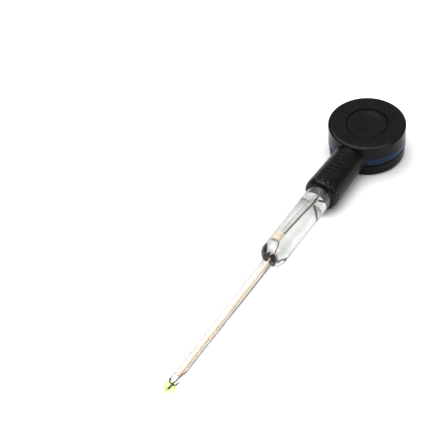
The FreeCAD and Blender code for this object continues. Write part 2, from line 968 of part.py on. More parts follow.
def temperature_sensor():
    bead = cylinder(sensor_radius, sensor_top, sensor_top + sensor_length)
    rims = [edge for edge in bead.Edges if edge.Curve.TypeId == "Part::GeomCircle"]
    bead = bead.makeFillet(sensor_radius * 0.9, rims)
    leads = sensor_lead(-lead_spread).fuse(sensor_lead(lead_spread))
    return bead.cut(leads).cut(element_wire(element_radius + pad_gap))


def crimp_barrel(radius):
    x, up = side(*on_circle(glass_inner - crimp_inset, crimp_angle))
    bottom = seal_bottom - crimp_depth
    return cylinder(radius, bottom - crimp_length, bottom, x, up)


def crimp_sleeve():
    return crimp_barrel(crimp_radius).cut(crimp_barrel(reference_radius))


def reference_wire():
    x, up = side(*on_circle(glass_inner - crimp_inset, crimp_angle))
    points = [
        Vector(x, up, glass_top + cap_plug_length + past),
        Vector(x, up, seal_bottom - reference_start),
    ]
    for inset, angle, below in reference_corners:
        x, up = side(*on_circle(glass_inner - inset, angle))
        points.append(Vector(x, up, seal_bottom + below))
    return bent_wire(points, reference_radius, reference_bend)


def glass_plug():
    top = glass_top + cap_plug_length
    plug = turned([
        (0.0, top),
        (glass_inner, top),
        (glass_inner, seal_bottom + seal_creep),
        level_arc(0.0, glass_inner, seal_bottom, -seal_creep),
    ])
    plug = plug.cut(inner_tube_solid(tube_radius)).cut(crimp_barrel(crimp_radius))
    return plug.cut(reference_wire()).cut(wire_passages(0.0))


def chamber_gel():
    fill = glass_solid(glass_wall, seal_bottom + seal_creep + wire_gap, mouth_radius)
    x, up = side(frit_offset)
    for inner in (
        inner_tube_solid(tube_radius),
        cylinder(frit_radius, frit_top, frit_top + frit_length, x, up),
        reference_wire(),
        wire_passages(0.0),
        cylinder(mouth_radius, stem_top - past, glass_end),
    ):
        fill = fill.cut(inner)
    return fill


def stem_radius(height):
    share = (height - stem_top) / (taper_end - stem_top)
    return stem_top_radius + share * (stem_tip_radius - stem_top_radius)


def stem_collar():
    reach = mouth_radius + collar_flange
    sleeve = turned([
        (stem_top_radius, stem_top - collar_inset),
        (mouth_radius, stem_top - collar_inset),
        (mouth_radius, glass_end),
        (reach, glass_end),
        (reach, glass_end + collar_lip - collar_edge),
        (reach - collar_edge, glass_end + collar_lip),
        (stem_radius(glass_end + collar_lip), glass_end + collar_lip),
        (stem_top_radius, stem_top),
    ])
    return lay_down(sleeve)


def stem_solid(inset, top, bottom_inset):
    """The stem's outline, moved inwards by inset."""
    half_way = (stem_tip_radius + stem_neck_radius) / 2 + stem_neck_bulge
    middle = (half_way - inset, (taper_end + stem_end) / 2)
    return turned([
        (0.0, top),
        (stem_radius(top) - inset, top),
        (stem_tip_radius - inset, taper_end),
        (middle, (stem_neck_radius - bottom_inset, stem_end)),
        (0.0, stem_end),
    ])


def stem_glass():
    outer = stem_solid(0.0, stem_top, 0.0)
    return lay_down(outer.cut(stem_solid(stem_wall, stem_top, bulb_wall)))


def ph_bulb():
    outer = Part.makeSphere(bulb_radius, Vector(0, 0, bulb_centre))
    inner = Part.makeSphere(bulb_radius - bulb_wall, Vector(0, 0, bulb_centre))
    keep = cylinder(bulb_radius + past, stem_end, bulb_centre + bulb_radius + past)
    return lay_down(outer.cut(inner).common(keep))


def bulb_buffer():
    """The liquid that fills the bulb and the stem."""
    fill = stem_solid(stem_wall, sleeve_top + past, bulb_wall)
    cavity = Part.makeSphere(bulb_radius - bulb_wall, Vector(0, 0, bulb_centre))
    below_stem = cylinder(bulb_radius, stem_end - thread_gap, bulb_centre + bulb_radius)
    fill = fill.fuse(cavity.common(below_stem))
    for inner in (
        cylinder(sleeve_radius, sleeve_top, sleeve_end),
        cylinder(sensor_radius, sensor_top, sensor_top + sensor_length),
        wire_passages(0.0),
        element_coat_solid(),
    ):
        fill = fill.cut(inner)
    return fill


def neck_leads():
    """Four insulated leads from the electrode's cap through the grip to the board's connector."""
    leads = []
    x, y, _, depth, height = connector
    plug_front = depth / 2 - y
    plug_up = board_bottom - height / 2 - axis_height
    for number in range(4):
        place = number - 1.5
        step = number % 2 - 0.5
        across = place * grip_lead_pitch
        plug_x = x + place * plug_pitch
        leads.append(bent_wire([
            Vector(across * 0.45, step * 0.9, cap_seat + cap_room - past / 50),
            Vector(across * 0.9, step * 1.2, cap_seat - 4.0),
            Vector(across * 1.3, -0.5, spigot_back + 2.3),
            Vector(plug_x, 0.35, plug_front + 2.5),
            Vector(plug_x, plug_up, plug_front + 0.3),
        ], insulation_radius, insulation_bend))
    return Part.makeCompound(leads)


parts = {
    "upper_housing": upper_housing(),
    "lower_housing": lower_housing(),
    "housing_gasket": housing_gasket(),
    "inner_frame": inner_frame(),
    "light_ring": light_ring(),
    "housing_screws": housing_screws(),
    "power_button": power_button(),
    "button_membrane": button_membrane(),
    "dome_switch": dome_switch(),
    "circuit_board": circuit_board(),
    "board_screws": board_screws(),
    "ring_leds": ring_leds(),
    "radio_module": radio_module(),
    "chip_antenna": chip_antenna(),
    "amplifier_chip": amplifier_chip(),
    "timing_crystal": timing_crystal(),
    "board_capacitors": board_capacitors(),
    "lead_connector": lead_connector(),
    "coin_cell": coin_cell(),
    "cell_spring": cell_spring(),
    "cell_clip": cell_clip(),
    "battery_cover": battery_cover(),
    "cover_oring": cover_oring(),
    "cell_pad": cell_pad(),
    "neck_grip": neck_grip(),
    "nose_ring": nose_ring(),
    "glass_seal": glass_seal(),
    "neck_leads": lay_down(neck_leads()),
    "electrode_cap": electrode_cap(),
    "chamber_glass": chamber_glass(),
    "glass_plug": lay_down(glass_plug()),
    "crimp_sleeve": lay_down(crimp_sleeve()),
    "reference_wire": lay_down(reference_wire()),
    "inner_tube": lay_down(inner_tube()),
    "inner_frit": lay_down(inner_frit()),
    "chamber_gel": lay_down(chamber_gel()),
    "stem_collar": stem_collar(),
    "stem_glass": stem_glass(),
    "lead_sleeve": lay_down(lead_sleeve()),
    "sensor_leads": lay_down(sensor_leads()),
    "temperature_sensor": lay_down(temperature_sensor()),
    "measuring_element": lay_down(measuring_element()),
    "bulb_buffer": lay_down(bulb_buffer()),
    "ph_bulb": ph_bulb(),
}

os.makedirs("parts", exist_ok=True)
for name, shape in parts.items():
    if not shape.isValid() or not shape.Solids:
        raise ValueError(name + " is not a valid solid")
    shape.exportStep("parts/" + name + ".step")
    print(name, len(shape.Solids), "solid(s)", round(shape.Volume, 2), "mm3")
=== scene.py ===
# %% [markdown]
# # A wireless pH probe and its finishes
# The shapes of this probe come from its CAD model, which is loaded first and never moved. This
# lesson gives each shape the surface that the real piece has: moulded black plastic, a dark blue
# light ring, clear glass with liquid in it, and small metal parts. It also makes the few pieces
# that CAD leaves plain. Everything is in metres, +Z is up, and the glass points along -Y.

# %% Load the frame
import math

import bpy
from mathutils import Matrix, Vector


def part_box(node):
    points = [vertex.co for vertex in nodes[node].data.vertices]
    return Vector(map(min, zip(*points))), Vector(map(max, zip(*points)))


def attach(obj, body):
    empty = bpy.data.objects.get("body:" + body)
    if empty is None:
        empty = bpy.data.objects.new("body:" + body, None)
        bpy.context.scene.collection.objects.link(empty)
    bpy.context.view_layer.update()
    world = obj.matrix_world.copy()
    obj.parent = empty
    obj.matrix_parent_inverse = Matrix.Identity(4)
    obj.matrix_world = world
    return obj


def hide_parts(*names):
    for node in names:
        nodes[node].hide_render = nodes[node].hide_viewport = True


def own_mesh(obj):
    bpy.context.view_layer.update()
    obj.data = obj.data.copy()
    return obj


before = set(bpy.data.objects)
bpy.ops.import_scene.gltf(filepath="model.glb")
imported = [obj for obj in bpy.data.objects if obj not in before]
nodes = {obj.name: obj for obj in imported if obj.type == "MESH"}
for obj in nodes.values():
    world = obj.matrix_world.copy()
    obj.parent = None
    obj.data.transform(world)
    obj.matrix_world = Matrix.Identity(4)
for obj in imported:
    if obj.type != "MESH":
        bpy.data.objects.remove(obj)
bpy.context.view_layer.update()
bpy.ops.object.select_all(action="DESELECT")
print(len(nodes), "pieces from the CAD model")

# %% [markdown]
# ## Camera
# A long lens looks down at 45 degrees from the front right, so the round head looks like an
# ellipse and the glass runs to the lower left. The camera's turn is written as three directions:
# its right, its down and the way it looks. A camera's own axes are right, up and back, so the last
# two are reversed.

# %% Camera
camera_place = Vector((0.32853, -0.62367, 0.66032))
camera_right = Vector((0.85723, 0.51314, -0.04295))
camera_down = Vector((0.33698, -0.6221, -0.70671))
camera_ahead = Vector((-0.38936, 0.59134, -0.7062))

lens = bpy.data.cameras.new("camera")
lens.lens = 173.4
lens.sensor_width = 36.0
lens.clip_start = 0.01
lens.clip_end = 50.0
camera = bpy.data.objects.new("camera", lens)
bpy.context.scene.collection.objects.link(camera)
turn = Matrix((camera_right, -camera_down, -camera_ahead)).transposed()
camera.matrix_world = Matrix.Translation(camera_place) @ turn.to_4x4()
bpy.context.scene.camera = camera
print("camera at", tuple(round(v, 3) for v in camera_place), "lens", lens.lens, "mm")

# %% [markdown]
# ## Floor
# A free probe tips until it rests on the edge of its head and on the bulb. The model stays
# level here, so the floor is tipped by the same two degrees instead, and lies just low enough that
# the head's edge doesn't cut it. It is matt and nearly white.

# %% Floor
floor_lean, floor_upright = 0.03621, 0.99934
floor_tip = math.atan2(floor_lean, floor_upright)
floor_size = 6.0
floor_height = -0.00065
bpy.ops.mesh.primitive_plane_add(
    size=floor_size, location=(0.0, 0.0, floor_height), rotation=(-floor_tip, 0.0, 0.0))
floor = bpy.context.active_object
floor.name = "floor"
bpy.ops.object.transform_apply(location=True, rotation=True, scale=True)
paper = bpy.data.materials.new("floor_paper")
paper.use_nodes = True
paper_shader = paper.node_tree.nodes["Principled BSDF"]
paper_shader.inputs["Base Color"].default_value = (0.9, 0.9, 0.9, 1.0)
paper_shader.inputs["Roughness"].default_value = 0.9
paper_shader.inputs["Specular IOR Level"].default_value = 0.1
floor.data.materials.append(paper)
print("floor tipped by", round(math.degrees(floor_tip), 2), "degrees")

# %% [markdown]
# ## Light
# A big soft panel high on the left lights the floor to white and leaves a narrow soft shadow. It
# stands where the flat top of the head doesn't mirror it, so the black stays black. A weak small
# one on the right lifts the shadow side. The sky is white overhead and gets darker towards the
# horizon. Glass needs that: with the same white on every side its edges would vanish.

# %% Sky
world = bpy.data.worlds.new("studio")
bpy.context.scene.world = world
world.use_nodes = True
sky_nodes = world.node_tree.nodes
sky_links = world.node_tree.links
sky = sky_nodes["Background"]
direction = sky_nodes.new("ShaderNodeTexCoord")
split = sky_nodes.new("ShaderNodeSeparateXYZ")
shade = sky_nodes.new("ShaderNodeValToRGB")
sky_links.new(direction.outputs["Generated"], split.inputs[0])
sky_links.new(split.outputs["Z"], shade.inputs["Fac"])
sky_links.new(shade.outputs["Color"], sky.inputs["Color"])
horizon, overhead = shade.color_ramp.elements
horizon.position = 0.0
horizon.color = (0.36, 0.36, 0.365, 1.0)
overhead.position = 1.0
overhead.color = (1.0, 1.0, 1.0, 1.0)
middle_height = 0.55
middle = shade.color_ramp.elements.new(middle_height)
middle.color = (0.46, 0.46, 0.465, 1.0)
sky.inputs["Strength"].default_value = 1.0


# %% Panels
panel_target = (0.0, -0.07, 0.0)


def panel(name, place, size, power):
    """A square soft light at place that looks at the middle of the probe."""
    light = bpy.data.lights.new(name, "AREA")
    light.shape = "SQUARE"
    light.size = size
    light.energy = power
    holder = bpy.data.objects.new(name, light)
    bpy.context.scene.collection.objects.link(holder)
    aim = Vector(panel_target) - Vector(place)
    turned = aim.to_track_quat("-Z", "Y").to_matrix().to_4x4()
    holder.matrix_world = Matrix.Translation(place) @ turned
    print(name, "size", size, "m,", power, "W")
    return holder


panel("key_panel", (-0.3, 0.0, 1.2), 1.4, 15.5)
panel("fill_panel", (0.75, -0.1, 0.95), 0.7, 2.5)
bpy.context.scene.view_settings.view_transform = "Standard"
bpy.context.scene.view_settings.exposure = 0.05
bpy.context.scene.view_settings.gamma = 0.82

# %% [markdown]
# ## How a finish is built
# No real surface has one flat colour. Each finish here starts with the main shader and adds noise
# that runs through the solid piece, read from its Object coordinates in metres. The noise drives
# three things: a small change of colour, a change of roughness, and a fine bump. The helpers
# tint, roughen and emboss each add one of them.


# %% Finish helpers
def new_finish(name, metallic=0.0, ior=1.5, specular=0.5):
    """A material and its main shader."""
    material = bpy.data.materials.new(name)
    material.use_nodes = True
    shader = material.node_tree.nodes["Principled BSDF"]
    shader.inputs["Metallic"].default_value = metallic
    shader.inputs["IOR"].default_value = ior
    shader.inputs["Specular IOR Level"].default_value = specular
    return material, shader


def place_in_piece(material, stretch=(1.0, 1.0, 1.0), centre=(0.0, 0.0, 0.0)):
    """The Object coordinates, moved so that centre is the pattern's middle, and stretched."""
    tree = material.node_tree
    coordinates = tree.nodes.new("ShaderNodeTexCoord")
    mapping = tree.nodes.new("ShaderNodeMapping")
    mapping.inputs["Scale"].default_value = stretch
    mapping.inputs["Location"].default_value = [-c * s for c, s in zip(centre, stretch)]
    tree.links.new(coordinates.outputs["Object"], mapping.inputs["Vector"])
    return mapping.outputs["Vector"]


def speckle(material, place, size, detail=3.0, swirl=0.0):
    """Noise whose blots are about size metres wide."""
    tree = material.node_tree
    noise = tree.nodes.new("ShaderNodeTexNoise")
    noise.inputs["Scale"].default_value = 1.0 / size
    noise.inputs["Detail"].default_value = detail
    noise.inputs["Distortion"].default_value = swirl
    tree.links.new(place, noise.inputs["Vector"])
    return noise.outputs["Fac"]


def turned_rings(material, place, pitch):
    """Rings about Z, pitch metres apart, as a mould that was turned on a lathe leaves them."""
    # A wave pattern repeats every pi / 10 units.
    tree = material.node_tree
    wave = tree.nodes.new("ShaderNodeTexWave")
    wave.wave_type = "RINGS"
    wave.rings_direction = "Z"
    wave.inputs["Scale"].default_value = math.pi / (10.0 * pitch)
    wave.inputs["Distortion"].default_value = 0.0
    tree.links.new(place, wave.inputs["Vector"])
    return wave.outputs["Fac"]


def between(material, value, low, high, start=0.3, stop=0.7):
    """Turns a pattern into a number from low to high."""
    tree = material.node_tree
    span = tree.nodes.new("ShaderNodeMapRange")
    span.inputs["From Min"].default_value = start
    span.inputs["From Max"].default_value = stop
    span.inputs["To Min"].default_value = low
    span.inputs["To Max"].default_value = high
    tree.links.new(value, span.inputs["Value"])
    return span.outputs["Result"]


def tint(material, shader, value, dark, light):
    """Sends a colour between dark and light to the shader's base colour."""
    tree = material.node_tree
    mix = tree.nodes.new("ShaderNodeMix")
    mix.data_type = "RGBA"
    mix.inputs["A"].default_value = (*dark, 1.0)
    mix.inputs["B"].default_value = (*light, 1.0)
    tree.links.new(between(material, value, 0.0, 1.0), mix.inputs["Factor"])
    tree.links.new(mix.outputs["Result"], shader.inputs["Base Color"])
    return mix


def roughen(material, shader, value, low, high):
    """Sends a roughness between low and high to the shader."""
    span = between(material, value, low, high)
    material.node_tree.links.new(span, shader.inputs["Roughness"])


def emboss(material, shader, value, height, under=None):
    """A bump of height metres over the shader's surface, on top of the bump under, if given."""
    tree = material.node_tree
    bump = tree.nodes.new("ShaderNodeBump")
    bump.inputs["Distance"].default_value = height
    bump.inputs["Strength"].default_value = 1.0
    tree.links.new(value, bump.inputs["Height"])
    if under is not None:
        tree.links.new(under, bump.inputs["Normal"])
    tree.links.new(bump.outputs["Normal"], shader.inputs["Normal"])
    return bump.outputs["Normal"]


def dress(finish, *names):
    """Gives CAD pieces a finish in place of the plain colour that they came with."""
    for name in names:
        for slot in nodes[name].material_slots:
            slot.material = finish
    print(finish.name, "on", ", ".join(names))


# %% [markdown]
# ## Gloss black cap, button and nose ring
# These are injection moulded in black plastic in a polished mould. The flat top still shows faint
# rings from the lathe that cut the mould, and handling leaves the gloss a little uneven. Rings
# about the head's own axis are a wave pattern in ring mode, kept very shallow.

# %% Gloss black
cap_black, shader = new_finish("cap_black", specular=0.2)
place = place_in_piece(cap_black)
handling = speckle(cap_black, place, 0.006, 5.0, 0.6)
tint(cap_black, shader, handling, (0.008, 0.008, 0.0085), (0.013, 0.013, 0.0135))
roughen(cap_black, shader, handling, 0.1, 0.16)
rings = emboss(cap_black, shader, turned_rings(cap_black, place, 0.0011), 0.0000012)
emboss(cap_black, shader, speckle(cap_black, place, 0.0005, 3.0), 0.0000015, rings)
dress(cap_black, "upper_housing", "power_button")

ring_black, shader = new_finish("ring_black", specular=0.35)
place = place_in_piece(ring_black)
cloud = speckle(ring_black, place, 0.003, 4.0)
tint(ring_black, shader, cloud, (0.003, 0.003, 0.0035), (0.007, 0.007, 0.0075))
roughen(ring_black, shader, speckle(ring_black, place, 0.002, 3.0), 0.1, 0.22)
emboss(ring_black, shader, speckle(ring_black, place, 0.0006, 3.0), 0.000001)
dress(ring_black, "nose_ring")

# %% [markdown]
# ## Base, battery cover and grip
# The base and its cover come from a mould that was only stoned, so they shine less. The grip has
# the softest touch: a fine, even grain that breaks up reflections. The three finishes differ in
# their grain's size and depth rather than in their colour.


# %% Moulded blacks
grains_per_cloud = 8


def moulded(name, dark, light, rough, grain, depth, specular=0.35):
    """Moulded plastic: cloudy colour and roughness, and a fine grain of that size and depth."""
    finish, shader = new_finish(name, specular=specular)
    place = place_in_piece(finish)
    cloud = speckle(finish, place, grain * grains_per_cloud, 4.0, 0.4)
    tint(finish, shader, cloud, dark, light)
    roughen(finish, shader, cloud, rough[0], rough[1])
    emboss(finish, shader, speckle(finish, place, grain, 3.0), depth)
    return finish


base_black = moulded("base_black", (0.006, 0.0058, 0.0055), (0.011, 0.0105, 0.01),
                     (0.3, 0.4), 0.0005, 0.000004, specular=0.22)
frame_grey = moulded("frame_grey", (0.004, 0.004, 0.004), (0.009, 0.0085, 0.008),
                     (0.5, 0.7), 0.0004, 0.000005)
grip_black = moulded("grip_black", (0.005, 0.005, 0.0055), (0.009, 0.009, 0.0095),
                     (0.26, 0.38), 0.00045, 0.000007, specular=0.28)
chip_black = moulded("chip_black", (0.015, 0.015, 0.016), (0.035, 0.035, 0.035),
                     (0.5, 0.75), 0.0002, 0.000003)
dress(base_black, "lower_housing", "battery_cover")
dress(frame_grey, "inner_frame")
dress(grip_black, "neck_grip")
dress(chip_black, "amplifier_chip", "electrode_cap")

# %% [markdown]
# ## Light ring
# The ring is a translucent blue band that the lamps on the board light from inside. With the
# lamps off it is a deep blue that lets a little light through, with a polished outside.

# %% Light ring
ring_blue, shader = new_finish("ring_blue", ior=1.49, specular=0.15)
place = place_in_piece(ring_blue)
depth = speckle(ring_blue, place, 0.004, 4.0, 0.8)
tint(ring_blue, shader, depth, (0.001, 0.022, 0.07), (0.003, 0.04, 0.115))
roughen(ring_blue, shader, depth, 0.12, 0.24)
emboss(ring_blue, shader, speckle(ring_blue, place, 0.0006, 2.0), 0.000002)
shader.inputs["Transmission Weight"].default_value = 0.15
shader.inputs["Coat Weight"].default_value = 0.1
shader.inputs["Coat Roughness"].default_value = 0.06
dress(ring_blue, "light_ring")

# %% [markdown]
# ## Rubber, silicone and foam
# Rubber seals are matt with a fine powdery grain, silicone is milky, and the pad under the cell is
# an open foam, whose cells are a bump about a tenth of a millimetre deep. The leads in the grip
# have a soft red insulation.

# %% Soft solids
seal_black = moulded("seal_black", (0.008, 0.008, 0.008), (0.018, 0.018, 0.018),
                     (0.6, 0.8), 0.0003, 0.000006)
dress(seal_black, "housing_gasket", "cover_oring", "glass_seal")
silicone = moulded("silicone", (0.42, 0.42, 0.44), (0.54, 0.54, 0.56),
                   (0.4, 0.6), 0.0004, 0.000004)
dress(silicone, "button_membrane")
foam_grey = moulded("foam_grey", (0.1, 0.1, 0.1), (0.22, 0.22, 0.22),
                    (0.85, 1.0), 0.0006, 0.00012)
dress(foam_grey, "cell_pad")
insulation = moulded("lead_insulation", (0.33, 0.03, 0.02), (0.5, 0.06, 0.04),
                     (0.35, 0.5), 0.0005, 0.000003)
dress(insulation, "neck_leads")

# %% [markdown]
# ## Metals
# Screws and cans are bright steel with fine marks, and the contacts are gilt. The marks are noise
# that is stretched many times along one direction, which is how a brushed or drawn metal looks.


# %% Metals
def metal(name, dark, light, rough, stretch, depth=0.000002):
    """Metal with fine marks; a stretch below one along an axis draws them out along it."""
    finish, shader = new_finish(name, metallic=1.0)
    place = place_in_piece(finish, stretch)
    marks = speckle(finish, place, 0.0005, 4.0)
    tint(finish, shader, marks, dark, light)
    roughen(finish, shader, marks, rough[0], rough[1])
    emboss(finish, shader, marks, depth)
    return finish


steel = metal("steel", (0.42, 0.42, 0.43), (0.62, 0.62, 0.63), (0.22, 0.4), (1.0, 0.1, 1.0))
cell_steel = metal("cell_steel", (0.55, 0.55, 0.56), (0.7, 0.7, 0.71),
                   (0.25, 0.4), (0.15, 1.0, 1.0))
gilt = metal("gilt", (0.62, 0.43, 0.14), (0.9, 0.68, 0.3), (0.15, 0.3), (1.0, 0.3, 1.0))
dress(steel, "housing_screws", "board_screws", "dome_switch", "radio_module", "timing_crystal")
dress(cell_steel, "coin_cell")
dress(gilt, "cell_spring", "cell_clip")

# %% [markdown]
# ## Dull metals
# The crimp is brass that has gone dull, and the silver wires have a dark coat of chloride. Neither
# shines like metal, so both use the moulded finish from above. The leads to the sensor have a pale
# enamel, which is copper coloured in the stem. Higher up it fades to grey, so the leads hardly
# stand out in the wide glass body. A second mix, driven by the place along the glass, does that.

# %% Dull metals
brass = moulded("dull_brass", (0.5, 0.38, 0.15), (0.74, 0.58, 0.26),
                (0.35, 0.5), 0.0004, 0.000003)
dress(brass, "crimp_sleeve")
chloride = moulded("silver_chloride", (0.03, 0.027, 0.025), (0.1, 0.09, 0.085),
                   (0.5, 0.75), 0.0003, 0.00001)
dress(chloride, "reference_wire", "measuring_element")

# %% Enamel that turns grey
enamel = moulded("lead_enamel", (0.78, 0.53, 0.4), (0.9, 0.68, 0.55),
                 (0.25, 0.4), 0.0006, 0.000003)
copper_end, grey_end = -0.085, -0.078
tree = enamel.node_tree
base_colour = tree.nodes["Principled BSDF"].inputs["Base Color"]
copper = base_colour.links[0].from_socket
along = tree.nodes.new("ShaderNodeSeparateXYZ")
tree.links.new(place_in_piece(enamel), along.inputs[0])
greyed = tree.nodes.new("ShaderNodeMix")
greyed.data_type = "RGBA"
greyed.inputs["B"].default_value = (0.5, 0.49, 0.47, 1.0)
grey_share = between(enamel, along.outputs["Y"], 0.0, 1.0, copper_end, grey_end)
tree.links.new(grey_share, greyed.inputs["Factor"])
tree.links.new(copper, greyed.inputs["A"])
tree.links.new(greyed.outputs["Result"], base_colour)
dress(enamel, "sensor_leads")

# %% [markdown]
# ## Board and its small parts
# The board is green lacquer over glass cloth, so its bump is a row of fine threads about a
# millimetre apart, made with a wave pattern. The antenna's and capacitors' ceramic, the nylon
# connector and the lamps need only a little variation.

# %% Board
board_green, shader = new_finish("board_green")
place = place_in_piece(board_green)
lacquer = speckle(board_green, place, 0.004, 5.0, 1.0)
tint(board_green, shader, lacquer, (0.008, 0.06, 0.022), (0.02, 0.11, 0.04))
roughen(board_green, shader, lacquer, 0.25, 0.4)
threads = board_green.node_tree.nodes.new("ShaderNodeTexWave")
threads.bands_direction = "X"
threads.inputs["Scale"].default_value = 320.0
board_green.node_tree.links.new(place, threads.inputs["Vector"])
emboss(board_green, shader, threads.outputs["Fac"], 0.000004)
dress(board_green, "circuit_board")
ceramic = moulded("ceramic_white", (0.66, 0.64, 0.58), (0.8, 0.78, 0.72),
                  (0.5, 0.7), 0.0003, 0.000003)
nylon = moulded("nylon_white", (0.68, 0.65, 0.56), (0.82, 0.8, 0.72),
                (0.35, 0.5), 0.0006, 0.000004)
lamp_white = moulded("led_white", (0.75, 0.72, 0.5), (0.9, 0.88, 0.7),
                     (0.15, 0.3), 0.0005, 0.000002)
dress(ceramic, "chip_antenna", "board_capacitors")
dress(nylon, "lead_connector")
dress(lamp_white, "ring_leds")


# %% [markdown]
# ## Glass
# The body, the tube inside it and the stem are clear borosilicate glass, blown and drawn by hand,
# so the surface waves slightly. The bulb is a different glass, which conducts a little, and has a
# yellow green tint. Light has to pass, so these finishes use full transmission. Where glass turns
# away from the eye, its base colour is painted darker: partly the real loss of light that runs a
# long way through the wall, partly painted shade that draws the dark edge lines. The inner tube
# stands in liquid, which bends light nearly as much as glass does, so what counts there is the
# ratio of the two, about 1.1.


# %% Glass
# Where the painted rim shade starts and where it is full, on Layer Weight's Facing.
painted_rim_start = 0.52
painted_rim_stop = 0.95


def glass(name, dark, light, wave_size, wave_height, ior=1.47, rough=(0.0, 0.02), painted_rim_tone=1.0):
    """Clear glass or liquid; the last argument is the colour left where the surface turns away:
    partly real loss of light in the wall, partly painted shade.
    """
    finish, shader = new_finish(name, ior=ior)
    shader.inputs["Transmission Weight"].default_value = 1.0
    place = place_in_piece(finish, (1.0, 0.35, 1.0))
    wave = speckle(finish, place, wave_size, 2.0)
    body = tint(finish, shader, wave, dark, light)
    # Painted shade: the base colour goes dark where the surface turns away from the eye, to draw
    # dark edge lines.
    if painted_rim_tone < 1.0:
        tree = finish.node_tree
        turned_away = tree.nodes.new("ShaderNodeLayerWeight")
        painted_rim_mix = tree.nodes.new("ShaderNodeMix")
        painted_rim_mix.data_type = "RGBA"
        painted_rim_mix.inputs["B"].default_value = (painted_rim_tone, painted_rim_tone, painted_rim_tone, 1.0)
        share = between(finish, turned_away.outputs["Facing"], 0.0, 1.0, painted_rim_start, painted_rim_stop)
        tree.links.new(share, painted_rim_mix.inputs["Factor"])
        tree.links.new(body.outputs["Result"], painted_rim_mix.inputs["A"])
        tree.links.new(painted_rim_mix.outputs["Result"], shader.inputs["Base Color"])
    roughen(finish, shader, wave, rough[0], rough[1])
    emboss(finish, shader, wave, wave_height)
    return finish


# The last number of each glass is the colour painted at its rim: partly real loss, partly painted
# shade.
clear_glass = glass("clear_glass", (0.86, 0.865, 0.86), (0.93, 0.93, 0.925),
                    0.004, 0.000008, painted_rim_tone=0.1)
thin_glass = glass("thin_glass", (0.93, 0.925, 0.92), (0.98, 0.975, 0.97),
                   0.003, 0.000005, painted_rim_tone=0.25)
wet_glass = glass("wet_glass", (0.96, 0.955, 0.94), (1.0, 1.0, 0.99),
                  0.003, 0.000004, ior=1.1, painted_rim_tone=0.5)
bulb_glass = glass("bulb_glass", (0.86, 0.93, 0.6), (0.92, 0.97, 0.72),
                   0.002, 0.000006, painted_rim_tone=0.45)
dress(clear_glass, "chamber_glass")
dress(thin_glass, "stem_glass")
dress(wet_glass, "inner_tube")
dress(bulb_glass, "ph_bulb")

# %% [markdown]
# ## Seal, frit, sleeve and sensor in the glass
# The seal in the glass body's top is a grey, slightly clear rubber. The frit is a porous
# ceramic plug that has taken up colour from the salt. The sleeve round the leads is thin amber
# plastic, and the sensor is a bead of epoxy.

# %% Parts inside the glass
seal_grey, shader = new_finish("seal_grey", ior=1.41)
place = place_in_piece(seal_grey, (1.0, 0.5, 1.0))
cloud = speckle(seal_grey, place, 0.0009, 4.0, 1.0)
tint(seal_grey, shader, cloud, (0.006, 0.006, 0.0055), (0.17, 0.17, 0.16))
roughen(seal_grey, shader, speckle(seal_grey, place, 0.001), 0.15, 0.35)
emboss(seal_grey, shader, speckle(seal_grey, place, 0.0012, 3.0), 0.0002)
dress(seal_grey, "glass_plug")
frit = moulded("frit_yellow", (0.66, 0.58, 0.44), (0.82, 0.75, 0.61),
               (0.6, 0.85), 0.0003, 0.00002)
dress(frit, "inner_frit")
sleeve, shader = new_finish("sleeve_amber", ior=1.45)
place = place_in_piece(sleeve, (1.0, 0.15, 1.0))
tint(sleeve, shader, speckle(sleeve, place, 0.0015, 3.0), (0.98, 0.86, 0.75), (1.0, 0.94, 0.88))
roughen(sleeve, shader, speckle(sleeve, place, 0.001), 0.1, 0.25)
emboss(sleeve, shader, speckle(sleeve, place, 0.0008), 0.000004)
shader.inputs["Transmission Weight"].default_value = 0.85
dress(sleeve, "lead_sleeve")
epoxy = moulded("sensor_epoxy", (0.7, 0.45, 0.27), (0.84, 0.6, 0.4), (0.15, 0.3), 0.0006, 0.000003)
dress(epoxy, "temperature_sensor")

# %% [markdown]
# ## Liquid
# The glass body holds a clear gel, and the stem and bulb hold a buffer. In CAD each fill touches
# the glass exactly, and a renderer can't tell which of two surfaces in one place comes first. So
# each fill is made again here, as one would draw out a vase: a disc is extruded from section to
# section along the glass and resized at each. Each section is a few hundredths of a millimetre
# wider than the bore, so light goes from glass to liquid with no film of air between, which would
# shine like a mirror. The sections are listed from the head outwards.

# %% Liquid finishes
gel = glass("gel", (0.985, 0.99, 0.985), (1.0, 1.0, 1.0),
            0.005, 0.000001, ior=1.34, rough=(0.0, 0.01))
buffer_liquid = glass("buffer_liquid", (0.98, 0.985, 0.97), (1.0, 1.0, 1.0),
                      0.005, 0.000001, ior=1.34, rough=(0.0, 0.01))
fill_overlap = 0.00003
glass_low, glass_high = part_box("chamber_glass")
axis_height = (glass_low.z + glass_high.z) / 2
sides = 96
smooth_below = math.radians(35.0)


